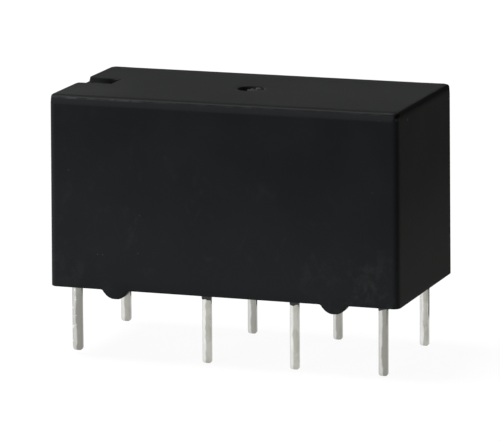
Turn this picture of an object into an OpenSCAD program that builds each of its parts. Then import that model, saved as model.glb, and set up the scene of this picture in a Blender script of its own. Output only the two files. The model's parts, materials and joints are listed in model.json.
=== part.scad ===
// Sealed two-pole changeover relay for a printed circuit board.
// Millimetres. X runs along the terminal rows, from the coil end to the contact end, and Z points up.
// The origin is the centre of the terminal pattern on the board, where the standoffs rest.
// Each paired piece is drawn for the front row, at negative Y, and mirrored for the back row.

/* [Terminals] */
// Distance between the two rows of terminals
row_span = 7.62; // [7.5:0.02:8.4]
// Coil terminal to common terminal
coil_to_common = 7.62; // [7.6:0.02:9]
// Common terminal to normally closed terminal
common_to_closed = 5.08; // [5:0.02:6]
// Normally closed terminal to normally open terminal
closed_to_open = 5.08; // [4.8:0.02:6]
// Length of the contact pins below the board face
pin_length = 3.5; // [2.5:0.1:5]
// Length of the coil pins below the board face
coil_pin_length = 3.3; // [2.5:0.1:5]
// Width of a contact pin
pin_width = 0.48; // [0.4:0.02:0.6]
// Width of a coil pin
coil_pin_width = 0.54; // [0.4:0.02:0.6]
// Thickness of the terminal strip
strip_thick = 0.3; // [0.2:0.02:0.4]
// Chamfer on each side of a contact pin's tip
tip_chamfer = 0.12; // [0.05:0.01:0.18]
// Chamfer on each side of a coil pin's tip
coil_tip_chamfer = 0.17; // [0.05:0.01:0.19]
// Width of a contact terminal above its pin
post_width = 0.9; // [0.7:0.05:1]
// Inside radius of the bend in a contact terminal
bend_radius = 0.1; // [0.05:0.01:0.15]
// Depth of a terminal's shoulder in the base
shoulder_depth = 0.6; // [0.3:0.1:1.2]
// Height of the coil terminals above the bobbin's lower flange
winding_post_height = 1.3; // [1.1:0.1:2]

/* [Cover] */
// Coil pins' centre line to the end of the cover
coil_end_margin = 1.16; // [1.16:0.02:3]
// Normally open pins' centre line to the end of the cover
contact_end_margin = 1.25; // [1.2:0.01:3]
// Centre line of a row to the side of the cover
side_margin = 1.215; // [1.2:0.005:3]
// Thickness of the four walls
wall = 0.6; // [0.4:0.05:0.6]
// Thickness of the roof
roof = 0.6; // [0.4:0.05:1.2]
// Height of the cavity above the closed armature
headroom = 0.65; // [0.6:0.05:2]
// How far each wall leans in over the cover's height
draft = 0.06; // [0.02:0.01:0.08]
// Radius of the upright outer edges
edge_radius = 0.4; // [0.2:0.05:0.55]
// Radius of the outer edges round the top
top_radius = 0.2; // [0.1:0.05:0.4]
// Radius of the cavity's edges
inner_radius = 0.2; // [0.1:0.05:0.3]
// Height of the standoffs below the rim
standoff_height = 0.5; // [0.3:0.05:1]
// Width of a standoff at the rim
standoff_width = 1.5; // [1.2:0.1:2.4]
// Width of a standoff's flat foot
standoff_foot = 0.3; // [0.2:0.05:0.8]
// Radius where a standoff runs into the rim
standoff_fillet = 0.2; // [0.05:0.01:0.3]
// Coil end of the cover to the first standoffs
coil_standoff_inset = 3.85; // [2.5:0.05:5]
// Contact end of the cover to the second standoffs
contact_standoff_inset = 3.7; // [2.5:0.05:5]
// Length of the index notch, from the coil end
notch_length = 2.15; // [1:0.05:3]
// Width of the index notch
notch_width = 1.65; // [1:0.05:3]
// Depth of the index notch
notch_depth = 0.3; // [0.1:0.05:0.35]
// Diameter of the gate recess
gate_diameter = 1.5; // [1:0.1:2.5]
// Depth of the gate recess
gate_depth = 0.15; // [0.05:0.05:0.3]

/* [Base and seal] */
// Rim to the face of the sealing resin
resin_recess = 0.15; // [0.05:0.05:0.4]
// Thickness of the resin
resin_thick = 0.45; // [0.3:0.05:0.8]
// Radius of the resin's fillet on a pin
resin_fillet = 0.42; // [0.3:0.02:0.5]
// Length of the resin that creeps down a pin
resin_creep = 0.5; // [0.2:0.05:0.6]
// Thickness of the base plate
base_thick = 1.7; // [1.4:0.1:2.5]
// Gap between the base and the cover
base_gap = 0.05; // [0.03:0.01:0.1]
// Gap round a terminal in its slot
slot_gap = 0.02; // [0.01:0.01:0.03]
// Height of the towers that hold the contact terminals
tower_height = 1.2; // [0.6:0.1:1.4]
// Height of the barrier between the poles
barrier_height = 3.6; // [2:0.1:4.5]
// Thickness of the barrier between the poles
barrier_thick = 0.9; // [0.5:0.1:1.4]
// Height of the rails beside the yoke's foot
rail_height = 0.7; // [0.3:0.1:0.8]

/* [Coil] */
// Coil pins' centre line to the coil's axis
coil_setback = 3; // [3:0.05:3.3]
// Length of the bobbin's flanges
bobbin_length = 6.8; // [6.4:0.1:6.8]
// Width of the bobbin's flanges
bobbin_width = 6.3; // [6.2:0.1:6.6]
// Height of the bobbin
bobbin_height = 5; // [4:0.1:8]
// Thickness of the bobbin's flanges
flange_thick = 0.5; // [0.3:0.05:0.7]
// Wall of the bobbin's tube
tube_wall = 0.4; // [0.3:0.05:0.6]
// Diameter of the winding
winding_diameter = 6; // [5:0.1:6]
// Diameter of the core
core_diameter = 2.2; // [1.6:0.1:2.6]
// Diameter of the core's pole head
pole_diameter = 4.4; // [3.4:0.1:5]
// Thickness of the core's pole head
pole_thick = 0.38; // [0.3:0.02:0.6]
// Gap round the core and at the ends of the winding
coil_fit = 0.02; // [0.01:0.01:0.05]
// Diameter of the lead wires
lead_diameter = 0.12; // [0.08:0.01:0.14]
// Turns of a lead wire on its terminal
lead_turns = 3; // [2:1:4]

/* [Magnet] */
// Thickness of the yoke
yoke_thick = 0.9; // [0.8:0.05:0.9]
// Width of the yoke
yoke_width = 4.4; // [4:0.1:4.4]
// Gap between the bobbin and the yoke's upright
coil_gap = 0.1; // [0.08:0.01:0.15]
// Coil axis to the free end of the yoke's foot
yoke_foot_reach = 2.2; // [1.8:0.1:2.3]
// Height of the yoke's ears above the hinge line
ear_height = 0.45; // [0.3:0.05:0.6]
// Thickness of the armature
armature_thick = 0.9; // [0.7:0.05:1.1]
// Width of the armature over the coil
armature_width = 5; // [4.4:0.1:5.6]
// Coil axis to the free end of the armature
armature_reach = 3.2; // [2.6:0.1:3.3]
// Width of the armature's arm
arm_width = 2.2; // [1.8:0.1:2.2]
// Opening between armature and pole head at rest
pole_gap = 0.22; // [0.15:0.01:0.25]
// Gap left between armature and pole head when closed
residual_gap = 0.02; // [0.01:0.01:0.04]
// Thickness of the hinge spring
hinge_spring_thick = 0.12; // [0.08:0.01:0.14]
// Running gap at the sides of the hinge and over the arm
hinge_gap = 0.1; // [0.08:0.01:0.12]
// Width of the hinge spring's legs
hinge_leg = 0.3; // [0.2:0.02:0.3]
// Hinge line to the foot of the hinge spring
hinge_spring_drop = 3; // [2:0.1:4]
// Hinge line to the foot of the hinge spring's window
hinge_window_drop = 0.9; // [0.6:0.1:1.5]
// Reach of the hinge spring's bridge over the arm
bridge_reach = 1.1; // [0.8:0.05:1.5]
// Width of the hinge spring's bridge along the arm
bridge_width = 0.5; // [0.3:0.05:0.6]

/* [Contacts] */
// Base to the underside of the normally closed strip
closed_pad_height = 1.95; // [1.7:0.05:2.5]
// Width of a moving spring
spring_width = 1.1; // [0.9:0.05:1.1]
// Thickness of a moving spring
spring_thick = 0.12; // [0.08:0.01:0.15]
// Width of the slot between a spring's two fingers
finger_slot = 0.2; // [0.1:0.02:0.3]
// Length of the slot between a spring's two fingers
finger_length = 3.2; // [2:0.1:3.5]
// Reach of a spring past the middle of its contacts
spring_overhang = 0.7; // [0.5:0.05:0.9]
// Length of the strip that carries a moving spring
common_pad_length = 1.5; // [1.2:0.1:2]
// Thickness of a moving contact bar
moving_bar_height = 0.25; // [0.2:0.01:0.3]
// Length of a moving contact bar
moving_bar_length = 0.8; // [0.5:0.05:0.9]
// Width of a moving contact bar
moving_bar_width = 0.34; // [0.25:0.01:0.38]
// Thickness of a fixed contact bar
fixed_bar_height = 0.3; // [0.2:0.02:0.4]
// Width of a fixed contact bar
fixed_bar_width = 0.5; // [0.3:0.02:0.7]
// Gap left between contacts that meet
touch_gap = 0.02; // [0.01:0.01:0.03]
// Reach of the fixed strips past the middle of the contacts
pad_overhang = 0.5; // [0.4:0.05:0.8]

/* [Card] */
// Common pins' centre line to the card's hooks
hook_reach = 3.57; // [3:0.01:3.7]
// Radius of a hook's lifting edge
hook_radius = 0.25; // [0.15:0.05:0.3]
// Gap between a hook and its spring
hook_gap = 0.02; // [0.02:0.01:0.03]
// Length of the card along the arm
card_length = 1; // [0.8:0.05:1.1]
// Thickness of the card's legs
card_leg = 0.7; // [0.5:0.05:0.8]
// Gap between a card leg and the moving spring
leg_gap = 0.2; // [0.1:0.02:0.3]
// Wall of the card over the armature's arm
card_roof = 0.25; // [0.2:0.05:0.3]
// Wall of the card under the armature's arm
card_floor = 0.35; // [0.25:0.05:0.6]

/* [Hidden] */

$fn = 48;
arc_steps = 6;
// How far a cutting body runs past the face that it opens
past = 0.5;

// Places along X
coil_x = -(coil_to_common + common_to_closed + closed_to_open) / 2;
common_x = coil_x + coil_to_common;
closed_x = common_x + common_to_closed;
open_x = closed_x + closed_to_open;
contact_x = (closed_x + open_x) / 2;
cover_x0 = coil_x - coil_end_margin;
cover_x1 = open_x + contact_end_margin;
axis_x = coil_x + coil_setback;
upright_x = axis_x + bobbin_length / 2 + coil_gap;
hinge_x = upright_x + yoke_thick;
hook_x = common_x + hook_reach;
spring_x0 = common_x - post_width / 2;

// Places along Y
row_y = row_span / 2;
cover_y = row_y + side_margin;
strip_y = row_y + strip_thick / 2;
spring_y = strip_y - bend_radius - strip_thick - spring_width / 2;
pad_y = spring_y - spring_width / 2 - 0.1;
leg_y = spring_y - spring_width / 2 - leg_gap;

// Places along Z, stacked from the board to the roof
rim_z = standoff_height;
resin_z = rim_z + resin_recess;
base_z = resin_z + resin_thick;
floor_z = base_z + base_thick;
bobbin_z = floor_z + yoke_thick;
pole_z = bobbin_z + bobbin_height;
hinge_z = pole_z + pole_thick + residual_gap;
arm_z = hinge_z + armature_thick;
cavity_z = arm_z + headroom;
top_z = cavity_z + roof;
closed_pad_z = floor_z + closed_pad_height;
spring_z = closed_pad_z + strip_thick + fixed_bar_height + touch_gap + moving_bar_height;

// The armature's tilt at rest, and how far it turns each moving spring through the card
armature_angle = asin(pole_gap / (hinge_x - axis_x));
hook_lift = (hook_x - hinge_x) * sin(armature_angle);
spring_angle = asin(hook_lift / (hook_x - spring_x0));
contact_travel = (contact_x - spring_x0) * sin(spring_angle);
open_pad_z = spring_z + spring_thick + moving_bar_height + contact_travel + touch_gap + fixed_bar_height;
hook_z = spring_z + (hook_x - spring_x0) * tan(spring_angle) - (hook_radius + hook_gap) / cos(spring_angle);

function arc(x, y, r, from, to) =
    [for (i = [0:arc_steps]) let (a = from + (to - from) * i / arc_steps) [x + r * cos(a), y + r * sin(a)]];

// Corners of a rectangle with rounded corners, between two opposite corner points
function rounded(x0, y0, x1, y1, r) = concat(
    arc(x1 - r, y1 - r, r, 0, 90),
    arc(x0 + r, y1 - r, r, 90, 180),
    arc(x0 + r, y0 + r, r, 180, 270),
    arc(x1 - r, y0 + r, r, 270, 360)
);

module block(low, high) {
    translate(low) cube(high - low);
}

// Extrudes an outline drawn in X and Z along Y, from y0 to y1
module along_y(y0, y1) {
    translate([0, y1, 0]) rotate([90, 0, 0]) linear_extrude(y1 - y0) children();
}

// Extrudes an outline drawn in Y and Z along X, from x0 to x1
module along_x(x0, x1) {
    translate([x0, 0, 0]) rotate([90, 0, 90]) linear_extrude(x1 - x0) children();
}

module back_row() {
    mirror([0, 1, 0]) children();
}

module both_rows() {
    children();
    mirror([0, 1, 0]) children();
}

// Turns the armature and what it carries from closed, as drawn, to the open rest position
module at_rest() {
    translate([hinge_x, 0, hinge_z]) rotate([0, armature_angle, 0])
        translate([-hinge_x, 0, -hinge_z]) children();
}

// Outline of a box that leans in by draft on both sides and has rounded top corners
module leaning_outline(low, high, z0, z1, r) {
    polygon(concat(
        [[low, z0], [high, z0]],
        arc(high - draft - r, z1 - r, r, 0, 90),
        arc(low + draft + r, z1 - r, r, 90, 180)
    ));
}

// Prism that rounds the upright edge at the low corner of a box, and leans as its walls do
module edge_cutter(height, r, lean) {
    bite = 0.003;
    rotate([-lean, lean, 0]) translate([0, 0, -past]) linear_extrude(height + 2 * past) polygon(concat(
        [[-past, -past], [-past, r]],
        arc(r - bite, r - bite, r, 180, 270),
        [[r, -past]]
    ));
}

// A box with rounded upright and top edges, whose walls lean in by draft between z0 and z1
module moulded_box(x0, x1, half_width, z0, z1, side_r, top_r) {
    middle = (x0 + x1) / 2;
    half_length = (x1 - x0) / 2;
    lean = atan(draft / (z1 - top_r - z0));
    translate([middle, 0, 0]) difference() {
        intersection() {
            along_y(-half_width, half_width) leaning_outline(-half_length, half_length, z0, z1, top_r);
            along_x(-half_length, half_length) leaning_outline(-half_width, half_width, z0, z1, top_r);
        }
        for (x = [0, 1], y = [0, 1])
            mirror([x, 0, 0]) mirror([0, y, 0])
                translate([-half_length, -half_width, z0]) edge_cutter(z1 - z0, side_r, lean);
    }
}

// Half-round standoff with a flat foot and filleted roots, drawn round X = 0 with its foot at 0
module standoff_outline() {
    half = standoff_width / 2;
    foot = standoff_foot / 2;
    f = standoff_fillet;
    centre = (half * half - foot * foot + rim_z * rim_z) / (2 * rim_z);
    r = norm([foot, centre]);
    fillet_x = sqrt(pow(r + f, 2) - pow(centre - rim_z + f, 2));
    root = atan2(centre - rim_z + f, fillet_x);
    flank = arc(0, centre, r, -root, -acos(foot / r));
    right = concat(arc(fillet_x, rim_z - f, f, 90, 180 - root), flank);
    left = [for (i = [len(right) - 1:-1:0]) [-right[i][0], right[i][1]]];
    polygon(concat(right, left));
}

module cover() {
    color("#222426") difference() {
        union() {
            difference() {
                moulded_box(cover_x0, cover_x1, cover_y, rim_z, top_z, edge_radius, top_radius);
                moulded_box(
                    cover_x0 + wall, cover_x1 - wall, cover_y - wall,
                    rim_z - past, cavity_z, inner_radius, inner_radius
                );
            }
            for (x = [cover_x0 + coil_standoff_inset, cover_x1 - contact_standoff_inset])
                both_rows() translate([x, 0, 0]) along_y(-cover_y, wall - cover_y) standoff_outline();
        }
        block(
            [cover_x0 - past, -notch_width / 2, top_z - notch_depth],
            [cover_x0 + notch_length, notch_width / 2, top_z + past]
        );
        translate([(cover_x0 + cover_x1) / 2, 0, top_z - gate_depth]) cylinder(d = gate_diameter, h = past);
    }
}

// Block that fills the cover's opening from z0 to z1, with a gap to the walls
module opening_block(gap, z0, z1) {
    inset = wall + gap;
    translate([0, 0, z0]) linear_extrude(z1 - z0) polygon(rounded(
        cover_x0 + inset, inset - cover_y, cover_x1 - inset, cover_y - inset, inner_radius
    ));
}

// Passage for the pins of the front row, wider by gap on every side
module pin_passages(gap, z0, z1) {
    block(
        [coil_x - coil_pin_width / 2 - gap, -strip_y - gap, z0],
        [coil_x + coil_pin_width / 2 + gap, strip_thick - strip_y + gap, z1]
    );
    for (x = [common_x, closed_x, open_x])
        block(
            [x - pin_width / 2 - gap, -strip_y - gap, z0],
            [x + pin_width / 2 + gap, strip_thick - strip_y + gap, z1]
        );
}

// Block of the base that holds a contact terminal's post
module tower(x) {
    side = 0.35;
    block(
        [x - post_width / 2 - side, -cover_y, floor_z - past],
        [x + post_width / 2 + side, strip_thick - strip_y + side, floor_z + tower_height]
    );
}

// Base plate with a tower round each contact terminal, a barrier between the poles and rails for the yoke
module base() {
    barrier_clearance = 1;
    rail_width = 0.6;
    rail_y = yoke_width / 2 + slot_gap;
    color("#2c2e30") difference() {
        union() {
            opening_block(base_gap, base_z, floor_z);
            intersection() {
                opening_block(base_gap, base_z, floor_z + tower_height + past);
                both_rows() for (x = [common_x, closed_x, open_x]) tower(x);
            }
            block(
                [hinge_x + barrier_clearance, -barrier_thick / 2, floor_z - past],
                [open_x, barrier_thick / 2, floor_z + barrier_height]
            );
            both_rows() block(
                [axis_x - yoke_foot_reach, -rail_y - rail_width, floor_z - past],
                [axis_x + yoke_foot_reach, -rail_y, floor_z + rail_height]
            );
        }
        both_rows() {
            pin_passages(slot_gap, base_z - past, floor_z + past);
            for (x = [common_x, closed_x, open_x])
                block(
                    [x - post_width / 2 - slot_gap, -strip_y - slot_gap, floor_z - shoulder_depth],
                    [
                        x + post_width / 2 + slot_gap,
                        strip_thick - strip_y + slot_gap,
                        floor_z + tower_height + past
                    ]
                );
        }
    }
}

// Resin that has crept down a pin, as a cone with a hollow flank
module creep(x) {
    neck = norm([pin_width, strip_thick]) / 2 + 0.03;
    skirt = neck + resin_fillet;
    low_z = resin_z - resin_creep;
    high_z = resin_z + resin_thick / 2;
    translate([x, -row_y, 0]) rotate_extrude() polygon(concat(
        [[0, high_z], [0, low_z], [neck, low_z]],
        arc(skirt, resin_z - resin_fillet, resin_fillet, 180, 90),
        [[skirt, high_z]]
    ));
}

module seal_resin() {
    bond_gap = 0.01;
    color("#17181a") difference() {
        union() {
            opening_block(bond_gap, resin_z, base_z);
            intersection() {
                opening_block(bond_gap, rim_z - past, base_z);
                both_rows() for (x = [common_x, closed_x, open_x]) creep(x);
            }
        }
        both_rows() pin_passages(0, rim_z - pin_length, base_z + past);
    }
}

// Flat pin with a chamfered tip, from its length below the board up to z1
module pin(x, width, length, chamfer, z1) {
    half = width / 2;
    translate([x, 0, 0]) along_y(-strip_y, strip_thick - strip_y) polygon([
        [chamfer - half, -length], [half - chamfer, -length],
        [half, chamfer - length], [half, z1],
        [-half, z1], [-half, chamfer - length]
    ]);
}

module coil_terminal() {
    color("#c9c8c2") pin(
        coil_x, coil_pin_width, coil_pin_length, coil_tip_chamfer,
        bobbin_z + flange_thick + winding_post_height
    );
}

// Stamped contact terminal: a pin, a wider post and a strip bent in at pad_z, from pad_x0 to pad_x1
module contact_terminal(x, pad_x0, pad_x1, pad_z) {
    outer = bend_radius + strip_thick;
    bend_y = outer - strip_y;
    bend_z = pad_z - bend_radius;
    color("#c9c8c2") union() {
        pin(x, pin_width, pin_length, tip_chamfer, floor_z);
        along_x(x - post_width / 2, x + post_width / 2) polygon(concat(
            [[strip_thick - strip_y, floor_z - shoulder_depth], [-strip_y, floor_z - shoulder_depth]],
            arc(bend_y, bend_z, outer, 180, 90),
            [[-pad_y, pad_z + strip_thick], [-pad_y, pad_z]],
            arc(bend_y, bend_z, bend_radius, 90, 180)
        ));
        block([pad_x0, bend_y, pad_z], [pad_x1, -pad_y, pad_z + strip_thick]);
    }
}

module common_terminal() {
    contact_terminal(common_x, spring_x0, spring_x0 + common_pad_length, spring_z - strip_thick);
}

module closed_terminal() {
    contact_terminal(closed_x, closed_x - post_width / 2, contact_x + pad_overhang, closed_pad_z);
}

module open_terminal() {
    contact_terminal(open_x, contact_x - pad_overhang, open_x + post_width / 2, open_pad_z);
}

// Crowned contact bar along X, with its flat side at z = 0 and its crown at height
module contact_bar(length, width, height) {
    shoulder = height * 0.6;
    rise = height - shoulder;
    r = (width * width / 4 + rise * rise) / (2 * rise);
    half_angle = asin(width / 2 / r);
    along_x(-length / 2, length / 2) polygon(concat(
        [[-width / 2, 0], [width / 2, 0]],
        arc(0, height - r, r, 90 - half_angle, 90 + half_angle)
    ));
}

module fixed_bar() {
    rotate([0, 0, 90]) contact_bar(spring_width, fixed_bar_width, fixed_bar_height);
}

module closed_contact() {
    color("#dad9d2") translate([contact_x, -spring_y, closed_pad_z + strip_thick]) fixed_bar();
}

module open_contact() {
    color("#dad9d2") translate([contact_x, -spring_y, open_pad_z]) mirror([0, 0, 1]) fixed_bar();
}

// Leaf spring whose free end is split into two fingers, lying flat at rest
module moving_spring() {
    half = spring_width / 2;
    x1 = contact_x + spring_overhang;
    slot_x = x1 - finger_length;
    color("#c79a56") translate([0, -spring_y, spring_z]) linear_extrude(spring_thick) difference() {
        polygon(rounded(spring_x0, -half, x1, half, 0.15));
        polygon(concat(
            arc(slot_x, 0, finger_slot / 2, 90, 270),
            [[x1 + past, -finger_slot / 2], [x1 + past, finger_slot / 2]]
        ));
    }
}

module moving_contact() {
    finger_y = (spring_width + finger_slot) / 4;
    color("#dad9d2") for (y = [-finger_y, finger_y]) translate([contact_x, y - spring_y, 0]) {
        translate([0, 0, spring_z + spring_thick])
            contact_bar(moving_bar_length, moving_bar_width, moving_bar_height);
        translate([0, 0, spring_z]) mirror([0, 0, 1])
            contact_bar(moving_bar_length, moving_bar_width, moving_bar_height);
    }
}

module flange_outline() {
    polygon(rounded(
        axis_x - bobbin_length / 2, -bobbin_width / 2, axis_x + bobbin_length / 2, bobbin_width / 2, 0.6
    ));
}

// Lug at a corner of the lower flange that holds a coil terminal
module terminal_lug() {
    lug_wall = 0.3;
    block(
        [axis_x - bobbin_length / 2, -strip_y - lug_wall, floor_z],
        [coil_x + coil_pin_width / 2 + lug_wall, 0.5 - bobbin_width / 2, bobbin_z + flange_thick]
    );
}

module bobbin() {
    tube_r = core_diameter / 2 + coil_fit + tube_wall;
    color("#ddd6c4") difference() {
        union() {
            translate([0, 0, bobbin_z]) linear_extrude(flange_thick) flange_outline();
            translate([0, 0, pole_z - flange_thick]) linear_extrude(flange_thick) flange_outline();
            translate([axis_x, 0, bobbin_z]) cylinder(r = tube_r, h = bobbin_height);
            both_rows() terminal_lug();
        }
        translate([axis_x, 0, bobbin_z - past])
            cylinder(r = core_diameter / 2 + coil_fit, h = bobbin_height + 2 * past);
        both_rows() pin_passages(slot_gap, floor_z - past, pole_z);
    }
}

module winding() {
    tube_r = core_diameter / 2 + coil_fit + tube_wall;
    r = winding_diameter / 2;
    corner = 0.25;
    z0 = bobbin_z + flange_thick + coil_fit;
    z1 = pole_z - flange_thick - coil_fit;
    color("#b5602f") translate([axis_x, 0, 0]) rotate_extrude() polygon(concat(
        [[tube_r + coil_fit, z1], [tube_r + coil_fit, z0]],
        arc(r - corner, z0 + corner, corner, 270, 360),
        arc(r - corner, z1 - corner, corner, 0, 90)
    ));
}

module core() {
    edge = 0.08;
    r = core_diameter / 2;
    head = pole_diameter / 2;
    head_z = pole_z + pole_thick;
    color("#b9bcc0") translate([axis_x, 0, 0]) rotate_extrude() polygon([
        [0, floor_z], [r - edge, floor_z], [r, floor_z + edge],
        [r, pole_z], [head, pole_z],
        [head, head_z - edge], [head - edge, head_z], [0, head_z]
    ]);
}

// Bent yoke: a foot under the coil and an upright with two ears beside the armature's arm
module yoke() {
    outer = yoke_thick * 0.7;
    half = yoke_width / 2;
    ear_y = arm_width / 2 + 2 * hinge_gap + hinge_leg;
    color("#b9bcc0") difference() {
        union() {
            along_y(-half, half) polygon(concat(
                [[axis_x - yoke_foot_reach, bobbin_z], [axis_x - yoke_foot_reach, floor_z]],
                arc(hinge_x - outer, floor_z + outer, outer, 270, 360),
                [[hinge_x, hinge_z], [upright_x, hinge_z]],
                arc(upright_x - coil_gap, bobbin_z + coil_gap, coil_gap, 0, -90)
            ));
            both_rows() block([upright_x, -half, hinge_z - past], [hinge_x, -ear_y, hinge_z + ear_height]);
        }
        translate([axis_x, 0, floor_z - past])
            cylinder(r = core_diameter / 2 + coil_fit, h = yoke_thick + 2 * past);
    }
}

module armature() {
    half = armature_width / 2;
    arm = arm_width / 2;
    x0 = axis_x - armature_reach;
    neck_x = upright_x - hinge_gap;
    corner = 0.5;
    color("#b9bcc0") at_rest() translate([0, 0, hinge_z]) linear_extrude(armature_thick) polygon(concat(
        arc(x0 + corner, half - corner, corner, 90, 180),
        arc(x0 + corner, corner - half, corner, 180, 270),
        [
            [neck_x, -half], [neck_x, -arm], [hook_x + card_length / 4, -arm],
            [hook_x + card_length / 4, arm], [neck_x, arm], [neck_x, half]
        ]
    ));
}

// Sheet spring on the yoke's upright, whose two legs pass the arm and press on it with a bridge
module hinge_spring() {
    t = hinge_spring_thick;
    inner = 0.12;
    low_z = hinge_z - hinge_spring_drop;
    window_z = hinge_z - hinge_window_drop;
    window_y = arm_width / 2 + hinge_gap;
    side_y = window_y + hinge_leg;
    bridge_z = arm_z + touch_gap;
    bridge_x = hinge_x + bridge_reach;
    color("#c79a56") difference() {
        along_y(-side_y, side_y) polygon(concat(
            [[hinge_x + t, low_z], [hinge_x + t, bridge_z - inner]],
            arc(hinge_x + t + inner, bridge_z - inner, inner, 180, 90),
            [[bridge_x, bridge_z], [bridge_x, bridge_z + t]],
            arc(hinge_x + t + inner, bridge_z - inner, inner + t, 90, 180),
            [[hinge_x, low_z]]
        ));
        block(
            [hinge_x - past, -window_y, window_z],
            [bridge_x - bridge_width, window_y, bridge_z + t + past]
        );
    }
}

// Moulded card on the end of the arm, whose hooks lift both moving springs
module card() {
    x0 = hook_x - card_length / 2;
    x1 = hook_x + card_length / 2;
    leg_x0 = leg_y - card_leg;
    low_z = hook_z - 0.6;
    top = arm_z + card_roof;
    chamfer = 0.2;
    hook_y = spring_y + spring_width / 2;
    slack = 0.01;
    color("#ece8dc") at_rest() difference() {
        union() {
            along_x(x0, x1) polygon([
                [chamfer - leg_y, top], [-leg_y, top - chamfer], [-leg_y, low_z + chamfer],
                [chamfer - leg_y, low_z], [-leg_x0, low_z], [-leg_x0, hinge_z - card_floor],
                [leg_x0, hinge_z - card_floor], [leg_x0, low_z], [leg_y - chamfer, low_z],
                [leg_y, low_z + chamfer], [leg_y, top - chamfer], [leg_y - chamfer, top]
            ]);
            both_rows() {
                block(
                    [hook_x - hook_radius, -hook_y, low_z + chamfer],
                    [hook_x + hook_radius, -leg_x0, hook_z]
                );
                translate([hook_x, -leg_x0, hook_z]) rotate([90, 0, 0])
                    cylinder(r = hook_radius, h = hook_y - leg_x0);
            }
        }
        block(
            [x0 - past, -arm_width / 2 - slack, hinge_z - slack],
            [hook_x + card_length / 4 + slack, arm_width / 2 + slack, arm_z + slack]
        );
    }
}

// Tube of eight sides swept along nearly level points
module wire(points, diameter) {
    sides = 8;
    last = len(points) - 1;
    r = diameter / 2;
    function across(i) =
        let (d = points[min(i + 1, last)] - points[max(i - 1, 0)]) [d[1], -d[0], 0] / norm([d[0], d[1]]);
    rings = [
        for (i = [0:last], k = [0:sides - 1])
            points[i] + r * (cos(360 * k / sides) * across(i) + [0, 0, sin(360 * k / sides)])
    ];
    skin = [
        for (i = [0:last - 1], k = [0:sides - 1])
            let (n = (k + 1) % sides)
                [i * sides + k, i * sides + n, (i + 1) * sides + n, (i + 1) * sides + k]
    ];
    polyhedron(rings, concat(
        [[for (k = [sides - 1:-1:0]) k]], skin, [[for (k = [0:sides - 1]) last * sides + k]]
    ));
}

// Lead wire from the winding to its terminal, with close turns round the terminal's post
module coil_lead() {
    steps = 16;
    coil_r = norm([coil_pin_width, strip_thick]) / 2 + lead_diameter / 2 + 0.01;
    turn_pitch = lead_diameter + 0.02;
    z0 = bobbin_z + flange_thick + 0.3;
    to_axis = [axis_x - coil_x, row_y];
    toward = atan2(to_axis[1], to_axis[0]);
    surface = norm(to_axis) - winding_diameter / 2 - lead_diameter / 2;
    start = [cos(toward), sin(toward), 0] * surface + [coil_x, -row_y, z0];
    turns = [
        for (i = [0:steps * lead_turns])
            let (a = toward - 90 + 360 * i / steps)
                [coil_x + coil_r * cos(a), coil_r * sin(a) - row_y, z0 + turn_pitch * i / steps]
    ];
    color("#b5602f") wire(concat([start], turns), lead_diameter);
}

cover();
base();
seal_resin();
bobbin();
winding();
core();
yoke();
armature();
hinge_spring();
card();
coil_terminal();  // coil_terminal_front
back_row() coil_terminal();  // coil_terminal_back
coil_lead();  // coil_lead_front
back_row() coil_lead();  // coil_lead_back
common_terminal();  // common_terminal_front
back_row() common_terminal();  // common_terminal_back
closed_terminal();  // closed_terminal_front
back_row() closed_terminal();  // closed_terminal_back
open_terminal();  // open_terminal_front
back_row() open_terminal();  // open_terminal_back
moving_spring();  // moving_spring_front
back_row() moving_spring();  // moving_spring_back
moving_contact();  // moving_contact_front
back_row() moving_contact();  // moving_contact_back
closed_contact();  // closed_contact_front
back_row() closed_contact();  // closed_contact_back
open_contact();  // open_contact_front
back_row() open_contact();  // open_contact_back
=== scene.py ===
"""The looks of a sealed two-pole relay: its moulded cover, resin and tinned pins, and the mechanism inside.

Meshes are made in millimetres, in the CAD's frame, and add_piece scales them to metres.
"""

import json
import math
import random

import bmesh
import bpy
from mathutils import Matrix, Vector, noise


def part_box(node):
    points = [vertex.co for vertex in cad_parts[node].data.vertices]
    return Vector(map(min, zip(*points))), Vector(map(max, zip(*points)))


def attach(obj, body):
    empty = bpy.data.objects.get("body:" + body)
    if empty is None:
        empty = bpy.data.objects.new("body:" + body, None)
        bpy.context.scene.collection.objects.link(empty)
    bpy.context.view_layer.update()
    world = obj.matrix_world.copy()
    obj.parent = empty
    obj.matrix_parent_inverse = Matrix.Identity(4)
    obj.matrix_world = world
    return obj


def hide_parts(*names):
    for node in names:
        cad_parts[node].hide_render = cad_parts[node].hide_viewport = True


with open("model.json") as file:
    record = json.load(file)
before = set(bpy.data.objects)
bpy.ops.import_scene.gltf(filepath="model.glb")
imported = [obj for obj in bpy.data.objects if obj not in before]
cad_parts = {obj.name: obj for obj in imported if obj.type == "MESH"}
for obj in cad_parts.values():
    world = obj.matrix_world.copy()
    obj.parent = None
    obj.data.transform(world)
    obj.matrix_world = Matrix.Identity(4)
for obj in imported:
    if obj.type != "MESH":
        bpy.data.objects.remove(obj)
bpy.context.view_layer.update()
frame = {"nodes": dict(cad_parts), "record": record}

MM = 0.001
NODES = frame["nodes"]
BODY_OF = {node: body for body, nodes in frame["record"]["behaviour"]["bodies"].items() for node in nodes}
SLOT_OF = {part["node"]: part["material_slot"] for part in frame["record"]["subparts"]}

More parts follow.
